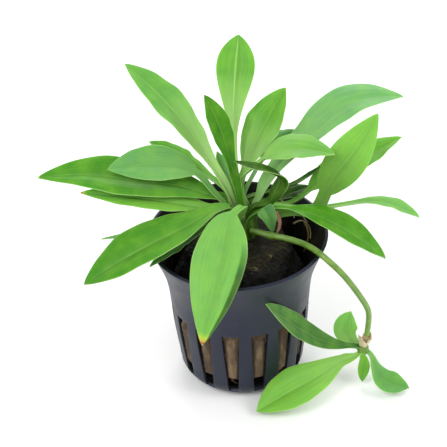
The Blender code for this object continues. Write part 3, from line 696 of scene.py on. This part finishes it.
def make_pot_plastic():
    """Black polypropylene from a fine-blasted mould: a satin skin with a blue-grey shine and faint scuffs,
    and an inner wall painted brown-olive, partly dirt and partly painted reflection of the stalks.
    """
    made, tree, shader = new_material("moulded_polypropylene", Roughness=0.4, IOR=1.49,
                                      Specular_Tint=linear("#d6deff"))
    place = add_node(tree, "ShaderNodeTexCoord").outputs["Object"]
    scuffs = add_node(tree, "ShaderNodeTexNoise", {
        "Vector": place, "Scale": 120.0, "Detail": 6.0, "Roughness": 0.65})
    black = add_node(tree, "ShaderNodeValToRGB", {0: scuffs.outputs["Fac"]}, stops=[
        (0.35, "#11141e"), (0.6, "#171a26"), (0.75, "#232632")])
    facing = add_node(tree, "ShaderNodeNewGeometry").outputs["Normal"]
    outward = add_node(tree, "ShaderNodeVectorMath", {0: place, 1: (1.0, 1.0, 0.0)}, operation="MULTIPLY")
    outward = add_node(tree, "ShaderNodeVectorMath", {0: facing, 1: outward.outputs[0]},
                       operation="DOT_PRODUCT")
    inside = add_node(tree, "ShaderNodeMath", {0: outward.outputs["Value"], 1: 0.0}, operation="LESS_THAN")
    # The inner wall is painted brown-olive: partly dirt from the wet wool, partly painted reflection of the
    # stalks
    dirt_and_reflection = add_node(tree, "ShaderNodeValToRGB", {0: scuffs.outputs["Fac"]}, stops=[
        (0.4, "#0c0a06"), (0.55, "#1c180c"), (0.7, "#40341c")])
    colour = blend_colour(tree, inside.outputs[0], black.outputs["Color"], dirt_and_reflection.outputs["Color"])
    tree.links.new(colour, shader.inputs["Base Color"])
    satin = add_node(tree, "ShaderNodeMapRange", {0: scuffs.outputs["Fac"], 1: 0.3, 2: 0.7, 3: 0.34, 4: 0.5})
    tree.links.new(satin.outputs[0], shader.inputs["Roughness"])
    blasted = add_node(tree, "ShaderNodeTexNoise", {"Vector": place, "Scale": 2500.0, "Detail": 2.0})
    bump = add_node(tree, "ShaderNodeBump", {
        "Height": blasted.outputs["Fac"], "Strength": 0.15, "Distance": 0.00005})
    tree.links.new(bump.outputs[0], shader.inputs["Normal"])
    return made


pot = make_pot(make_pot_plastic())
print("pot faces before its wall is added:", len(pot.data.polygons))

# %% [markdown]
# ## The rock wool
# Rock wool is molten stone spun into fibres and pressed to a mat. In the pot it is a plug: dry and beige
# where it shows through the slots, dark and wet on top, where it swells to a mound round the crown. The
# body is a turned profile whose points are pushed along their normals by ripples of two lengths. A mat of
# loose fibres then lies on it, because a smooth body alone would look like clay.

# %% The plug and its damp top
MOUND_TOP, MOUND_RADIUS, WOOL_GAP = 50.0, 15.5, 0.4
WOOL_BOTTOM, WOOL_SHOULDER = 7.0, 34.0


def wool_wall(height):
    """The plug's radius beside the wall: the pot's own, less the wall and a gap."""
    heights = [FOOT_CURVE, WAIST_HEIGHT, SHOULDER_HEIGHT]
    return np.interp(height, heights, [FOOT_RADIUS, WAIST_RADIUS, SHOULDER_RADIUS]) - WALL - WOOL_GAP


MOUND = np.array([(0.0, MOUND_TOP), (MOUND_RADIUS - 6.0, MOUND_TOP), (MOUND_RADIUS - 2.5, MOUND_TOP - 0.5),
                  (MOUND_RADIUS, MOUND_TOP - 2.5), (MOUND_RADIUS + 2.5, MOUND_TOP - 8.0),
                  (float(wool_wall(WOOL_SHOULDER)) - 2.0, WOOL_SHOULDER + 4.0),
                  (float(wool_wall(WOOL_SHOULDER)), WOOL_SHOULDER)])


def make_wool(finish):
    down = np.linspace(WOOL_SHOULDER, WOOL_BOTTOM + 1.5, 60)[1:]
    corners = np.concatenate([MOUND[1:], np.stack([wool_wall(down), down], axis=1),
                              [(float(wool_wall(WOOL_BOTTOM)) - 1.2, WOOL_BOTTOM), (1.0, WOOL_BOTTOM)]])
    along = np.concatenate([[0], np.cumsum(np.linalg.norm(np.diff(corners, axis=0), axis=1))])
    steps = np.linspace(0, along[-1], 190)
    radius, height = (np.interp(steps, along, corners[:, i]) for i in (0, 1))
    inside = np.linspace(0.3, radius[0], 14)[:-1]
    radius = np.concatenate([inside, radius])
    height = np.concatenate([np.full(13, MOUND_TOP), height])
    turn = 2 * math.pi * np.arange(240) / 240
    points = np.stack([radius[:, None] * np.cos(turn), radius[:, None] * np.sin(turn),
                       height[:, None] + 0 * turn], axis=-1)
    slope_r, slope_z = np.gradient(radius), np.gradient(height)
    size = np.hypot(slope_r, slope_z)
    flat = -(slope_z / size)[:, None]
    out = np.stack([flat * np.cos(turn), flat * np.sin(turn), (slope_r / size)[:, None] + 0 * turn], axis=-1)
    on_top = np.clip((height - WOOL_SHOULDER) / 6, 0, 1)[:, None]
    stretch = np.array([1.0, 1.0, 1.6])
    lumps = 0.7 * on_top * ripple(points * stretch, 9.0, 3)
    creases = (0.18 + 0.35 * on_top) * (np.abs(ripple(points * stretch, 2.2, 4)) - 0.5)
    slot = ((np.degrees(turn) + 90 - SLOT_TURN) * SLOTS / 360 + 0.5) % 1 - 0.5
    in_slot = np.clip((height - 8) / 2, 0, 1) * np.clip((SLOT_TOP - 1 - height) / 2, 0, 1)
    bulge = 1.3 * in_slot[:, None] * np.clip(1 - (slot / 0.24) ** 4, 0, 1)
    points = points + out * (lumps + creases + bulge - 0.15)[..., None]
    faces = grid_faces(*turn_shape(points), closed=True)[:, ::-1].tolist()
    rows = len(radius)
    caps = [list(range(240)), list(range((rows - 1) * 240, rows * 240))[::-1]]
    return add_piece("rock_wool_plug", points, faces + caps, finish, ["rock_wool"])


def turn_shape(points):
    return points.shape[0], points.shape[1]


def make_wool_material():
    """Spun mineral fibre: rough and matt, beige at the sides and black-brown on top, where it is wet, with
    the mound's flanks below its lit crest painted near black as painted shade.
    """
    made, tree, shader = new_material("rock_wool_mat", Roughness=0.9, IOR=1.5)
    place = add_node(tree, "ShaderNodeTexCoord").outputs["Object"]
    height = add_node(tree, "ShaderNodeSeparateXYZ", {0: place}).outputs[2]
    tall = add_node(tree, "ShaderNodeVectorMath", {0: place, 1: (1.0, 1.0, 0.25)}, operation="MULTIPLY")
    upright = add_node(tree, "ShaderNodeTexNoise", {
        "Vector": tall.outputs[0], "Scale": 420.0, "Detail": 5.0, "Roughness": 0.6})
    flat = add_node(tree, "ShaderNodeVectorMath", {0: place, 1: (0.3, 1.0, 1.6)}, operation="MULTIPLY")
    fibres = add_node(tree, "ShaderNodeTexNoise", {
        "Vector": flat.outputs[0], "Scale": 420.0, "Detail": 6.0, "Roughness": 0.7})
    beige = add_node(tree, "ShaderNodeValToRGB", {0: upright.outputs["Fac"]}, stops=[
        (0.3, "#35291b"), (0.5, "#50402e"), (0.7, "#766248")])
    wet = add_node(tree, "ShaderNodeValToRGB", {0: fibres.outputs["Fac"]}, stops=[
        (0.35, "#1a180a"), (0.5, "#3c3719"), (0.62, "#7d7148")])
    # Painted shade: below a ragged line near the mound's crest, the wet wool is painted near black for the
    # shade on its flanks
    level = add_node(tree, "ShaderNodeMath", {0: fibres.outputs["Fac"], 1: 0.006, 2: height},
                     operation="MULTIPLY_ADD")
    lit = add_node(tree, "ShaderNodeMapRange", {0: level.outputs[0], 1: 0.0512, 2: 0.0522, 3: 0.0, 4: 1.0})
    wet = blend_colour(tree, lit.outputs[0], "#0b0a08", wet.outputs["Color"])
    top = add_node(tree, "ShaderNodeMapRange", {0: height, 1: 0.030, 2: 0.036, 3: 0.0, 4: 1.0})
    colour = blend_colour(tree, top.outputs[0], beige.outputs["Color"], wet)
    tree.links.new(colour, shader.inputs["Base Color"])
    bump = add_node(tree, "ShaderNodeBump", {
        "Height": fibres.outputs["Fac"], "Strength": 0.8, "Distance": 0.0006})
    tree.links.new(bump.outputs[0], shader.inputs["Normal"])
    return made


wool_mat = make_wool_material()
wool = make_wool(wool_mat)
print("wool plug points:", len(wool.data.vertices))

# %% [markdown]
# ## Loose fibres
# The fibres are thinner than a hair, far too fine for the picture, so they are drawn 0.2 mm thick, which is
# as coarse as it takes to show. All strands are one array: strand by strand, step by step, three corners at
# each step. Their paths wander in the plane of the mat and follow the height of the mound under them.

# %% Strands laid on the mound and on the plug's side
FIBRE_THICK = 0.2
FIBRE_STEPS = 9


def strand_mesh(name, paths, thick, finish, shade):
    """Three-sided tubes along many paths at once, thinning to both ends. Paths is strands by steps by xyz."""
    strands, steps, _ = paths.shape
    tangent = unit(np.gradient(paths, axis=1))
    side = unit(np.cross(tangent, [0.31, 0.22, 0.93]))
    up = np.cross(tangent, side)
    turn = 2 * math.pi * np.arange(3) / 3
    taper = np.sqrt(np.sin(math.pi * np.linspace(0.06, 0.94, steps)))[None, :, None, None] * thick / 2
    ring = side[:, :, None] * np.cos(turn)[:, None] + up[:, :, None] * np.sin(turn)[:, None]
    points = paths[:, :, None] + ring * taper
    quads = grid_faces(steps, 3, closed=True)
    caps = np.array([[2, 1, 0], [3 * steps - 3, 3 * steps - 2, 3 * steps - 1]])
    offset = (np.arange(strands) * steps * 3)[:, None, None]
    faces = (quads + offset).reshape(-1, 4).tolist() + (caps + offset).reshape(-1, 3).tolist()
    values = {"shade": shade[:, None, None] * np.ones((1, steps, 3))}
    return add_piece(name, points, faces, finish, (), values)


def wander(chance, strands, length, curl, spread):
    """Flat paths about the origin: a heading that turns steadily, plus a slow random swing."""
    s = np.linspace(-0.5, 0.5, FIBRE_STEPS)[None, :]
    heading = chance.normal(0, spread, (strands, 1)) + curl * chance.normal(size=(strands, 1)) * s
    swings = s * chance.uniform(0.6, 1.6, (strands, 1)) + chance.random((strands, 1))
    heading = heading + 0.5 * np.sin(2 * math.pi * swings)
    step = length[:, None] / (FIBRE_STEPS - 1)
    x, y = np.cumsum(np.cos(heading) * step, axis=1), np.cumsum(np.sin(heading) * step, axis=1)
    return x - x.mean(axis=1, keepdims=True), y - y.mean(axis=1, keepdims=True)


def mound_fibres(strands, seed):
    """Strands on the mound, at the height of its profile with its lumps."""
    chance = np.random.default_rng(seed)
    x, y = wander(chance, strands, chance.uniform(4, 11, strands), 0.4, 0.3)
    radius = 14.5 * np.sqrt(chance.random(strands))[:, None]
    turn = chance.uniform(0, 2 * math.pi, strands)[:, None]
    x, y = x + radius * np.cos(turn), y + radius * np.sin(turn)
    far = np.minimum(np.hypot(x, y), 19.6) / np.maximum(np.hypot(x, y), 0.01)
    x, y = x * far, y * far
    z = np.interp(np.hypot(x, y), MOUND[:, 0], MOUND[:, 1])
    at = np.stack([x, y, z], axis=-1)
    z = z + 0.7 * ripple(at * np.array([1.0, 1.0, 1.6]), 9.0, 3) + chance.uniform(-0.2, 0.5, strands)[:, None]
    return np.stack([x, y, z], axis=-1), chance.random(strands)


def side_fibres(strands, seed):
    """Strands round the plug, just under its surface and out of it, by at most the gap to the pot."""
    chance = np.random.default_rng(seed)
    along, z = wander(chance, strands, chance.uniform(3, 9, strands), 1.2, 3.0)
    z = z + chance.uniform(7.5, 29, strands)[:, None]
    z = np.clip(z, 6.2, 31)
    radius = wool_wall(z) + chance.uniform(-0.1, 0.15, strands)[:, None]
    turn = chance.uniform(0, 2 * math.pi, strands)[:, None] + along / radius
    return np.stack([radius * np.cos(turn), radius * np.sin(turn), z], axis=-1), chance.random(strands)


def make_fibre_material(name, stops):
    made, tree, shader = new_material(name, Roughness=0.75, IOR=1.5)
    shade = add_node(tree, "ShaderNodeAttribute", attribute_name="shade").outputs["Fac"]
    colour = add_node(tree, "ShaderNodeValToRGB", {0: shade}, stops=stops)
    tree.links.new(colour.outputs["Color"], shader.inputs["Base Color"])
    return made


wet_fibre = make_fibre_material("wet_fibre", [
    (0.0, "#131006"), (0.7, "#2c2812"), (0.95, "#453f26"), (1.0, "#6a6244")])
dry_fibre = make_fibre_material("dry_fibre", [(0.0, "#5c4630"), (0.5, "#86694b"), (1.0, "#bda07c")])
paths, shade = mound_fibres(1200, 11)
strand_mesh("wool_fibres_top", paths, FIBRE_THICK, wet_fibre, shade)
paths, shade = side_fibres(500, 12)
strand_mesh("wool_fibres_side", paths, FIBRE_THICK, dry_fibre, shade)
print("fibres laid:", 1200 + 500)

# %% [markdown]
# ## Roots and dead threads
# A few roots and the threads of old stalks hang between the wool and the wall. They are thin pale stems,
# each drawn by four points.

# %% Roots along the wall
ROOTS = {
    "root_wall_1": [(21.2, 8, 49.5), (22.2, 6, 47.5), (22, 5, 44), (20.7, 5, 40)],
    "root_wall_2": [(17.7, 8, 49), (20.7, 9.5, 48.8), (22.7, 8, 47.5), (22.9, 5, 45)],
    "root_wall_3": [(12.7, 13, 47), (16.7, 13.5, 49), (20.2, 12, 49.5), (22.2, 9.5, 48)],
    "dead_thread_1": [(12.7, 15, 55), (14.7, 14, 53.5), (16.7, 12.5, 52), (18.2, 11, 49)],
}
root_tissue = make_fibre_material("root_tissue", [(0.0, "#6e5f3a"), (1.0, "#b7a982")])
for number, (name, points) in enumerate(ROOTS.items()):
    line, at, _ = smooth_line(points, 40)
    radius = 0.3 * (1 - 0.4 * at / at[-1])
    surface = stem_surface(line, radius, 10)
    shade = np.full(surface.shape[:2], number / 3) * np.linspace(0.6, 1, 40)[:, None]
    add_piece(name, surface, tube_faces(40, 10), root_tissue, (), {"shade": shade})
print("roots and threads:", len(ROOTS))

# %% [markdown]
# ## The studio
# A product picture of a plant is taken on a white sweep under soft light from all sides, so that nothing
# has a hard shadow. Here that is a pale floor, a pale sky and three large area lamps. The camera has a long
# lens, as for a small product, and looks down at 37 degrees.

# %% Floor and light
def make_floor():
    size = 12.0
    mesh = bpy.data.meshes.new("floor")
    corners = [(-size, -size, 0), (size, -size, 0), (size, size, 0), (-size, size, 0)]
    mesh.from_pydata(corners, [], [(0, 1, 2, 3)])
    made, tree, shader = new_material("white_sweep", Roughness=0.9)
    shader.inputs["Base Color"].default_value = linear("#f6f6f6")
    mesh.materials.append(made)
    floor = bpy.data.objects.new("floor", mesh)
    bpy.context.collection.objects.link(floor)


def add_lamp(name, place, aim, size, power):
    light = bpy.data.lights.new(name, "AREA")
    light.shape = "DISK"
    light.size = size
    light.energy = power
    lamp = bpy.data.objects.new(name, light)
    lamp.location = place
    lamp.rotation_euler = (Vector(aim) - Vector(place)).to_track_quat("-Z", "Y").to_euler()
    bpy.context.collection.objects.link(lamp)


make_floor()
add_lamp("key", (-0.5, -0.6, 0.9), (0, 0, 0.05), 0.6, 7)
add_lamp("fill", (0.8, -0.3, 0.6), (0, 0, 0.05), 0.6, 4.5)
add_lamp("back", (0.1, 0.9, 0.7), (0, 0, 0.06), 0.8, 6)
world = bpy.data.worlds.new("studio")
world.use_nodes = True
world.node_tree.nodes["Background"].inputs["Color"].default_value = linear("#ffffff")
world.node_tree.nodes["Background"].inputs["Strength"].default_value = 0.7
bpy.context.scene.world = world
bpy.context.scene.view_settings.view_transform = "Standard"
print("lamps:", [item.name for item in bpy.data.lights])

# %% Camera
ELEVATION, DISTANCE, ROLL = 37.0, 0.62, -2.5
AIM = Vector((-0.0043, 0.0, 0.0563))
LENS = 160.8


def make_camera():
    raised = math.radians(ELEVATION)
    toward = Vector((0.0, -math.cos(raised), math.sin(raised)))
    lens = bpy.data.cameras.new("camera")
    lens.lens = LENS
    lens.sensor_width = 36.0
    lens.clip_start = 0.05
    camera = bpy.data.objects.new("camera", lens)
    turned = (-toward).to_track_quat("-Z", "Y").to_matrix() @ Matrix.Rotation(math.radians(ROLL), 3, "Z")
    camera.matrix_world = Matrix.Translation(AIM + toward * DISTANCE) @ turned.to_4x4()
    bpy.context.collection.objects.link(camera)
    bpy.context.scene.camera = camera


make_camera()
print("camera looks down at", ELEVATION, "degrees from", DISTANCE, "m")
